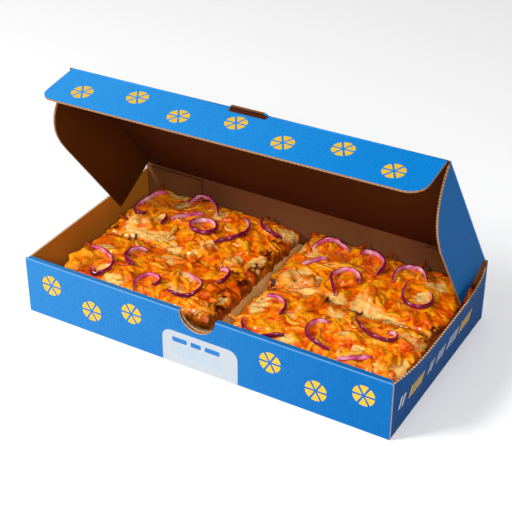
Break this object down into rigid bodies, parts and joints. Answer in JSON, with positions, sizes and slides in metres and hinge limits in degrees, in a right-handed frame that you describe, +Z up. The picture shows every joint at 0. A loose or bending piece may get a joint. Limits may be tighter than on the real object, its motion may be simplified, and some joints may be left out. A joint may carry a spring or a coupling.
{
  "type": "pizza in takeaway box",
  "caption": "Chicken and red onion pizza cut into rectangular slices on a raised card in an open blue corrugated card box with hinged lid, side ears and tuck flap",
  "frame": {"origin": "middle of the tray's underside", "axes": "+X to the right along the front wall, +Y from the front wall to the hinge, +Z up"},
  "size_m": [0.326, 0.1738, 0.1917],
  "materials": {
    "printed_card": "corrugated card printed matt blue outside, bare kraft inside",
    "kraft_card": "bare brown corrugated card",
    "kraft_insert": "light tan card, slightly creased",
    "bread": "browned pizza crust and base",
    "melted_topping": "glossy melted cheese, tomato sauce and shredded chicken",
    "chicken_and_cheese": "torn chicken and melted cheese chunks",
    "red_onion": "glossy purple skin, pale pink flesh"
  },
  "bodies": {
    "tray": {"tray_front": "printed_card", "tray_side_left": "printed_card", "tray_side_right": "printed_card", "tray_back": "printed_card", "tray_floor": "kraft_card", "tray_flap_back_left": "kraft_card", "tray_flap_back_right": "kraft_card", "riser_top": "kraft_insert", "riser_leg_front": "kraft_insert", "riser_leg_back": "kraft_insert", "slice_back_left_base": "bread", "slice_back_left_topping": "melted_topping", "slice_front_left_base": "bread", "slice_front_left_topping": "melted_topping", "slice_back_right_base": "bread", "slice_back_right_topping": "melted_topping", "slice_front_right_base": "bread", "slice_front_right_topping": "melted_topping", "chunk_01": "chicken_and_cheese", "chunk_02": "chicken_and_cheese", "chunk_03": "chicken_and_cheese", "chunk_04": "chicken_and_cheese", "chunk_05": "chicken_and_cheese", "chunk_06": "chicken_and_cheese", "chunk_07": "chicken_and_cheese", "chunk_08": "chicken_and_cheese", "chunk_09": "chicken_and_cheese", "chunk_10": "chicken_and_cheese", "chunk_11": "chicken_and_cheese", "chunk_12": "chicken_and_cheese", "chunk_13": "chicken_and_cheese", "chunk_14": "chicken_and_cheese", "chunk_15": "chicken_and_cheese", "onion_01": "red_onion", "onion_02": "red_onion", "onion_03": "red_onion", "onion_04": "red_onion", "onion_05": "red_onion", "onion_06": "red_onion", "onion_07": "red_onion", "onion_08": "red_onion", "onion_09": "red_onion", "onion_10": "red_onion", "onion_11": "red_onion", "onion_12": "red_onion", "onion_13": "red_onion", "onion_14": "red_onion", "onion_15": "red_onion", "onion_16": "red_onion", "onion_17": "red_onion", "onion_18": "red_onion", "onion_19": "red_onion", "onion_20": "red_onion", "onion_21": "red_onion", "onion_22": "red_onion", "onion_23": "red_onion"},
    "lid": {"lid_panel": "printed_card", "lid_ear_left": "printed_card", "lid_ear_right": "printed_card"},
    "tuck_flap": {"tuck_flap": "printed_card"}
  },
  "joints": [
    {"name": "lid_hinge", "type": "hinge", "parent": "tray", "child": "lid", "pos_m": [0, 0.0861, 0.0547], "axis": [-1, 0, 0], "range_deg": [-53.4, 60]},
    {"name": "flap_fold", "type": "hinge", "parent": "lid", "child": "tuck_flap", "pos_m": [0, -0.01228, 0.18716], "axis": [-0.9998, -0.0147, -0.0109], "range_deg": [-50, 56]}
  ],
  "couplings": [
    {"joint": "flap_fold", "follows": "lid_hinge", "ratio": 0.91}
  ]
}
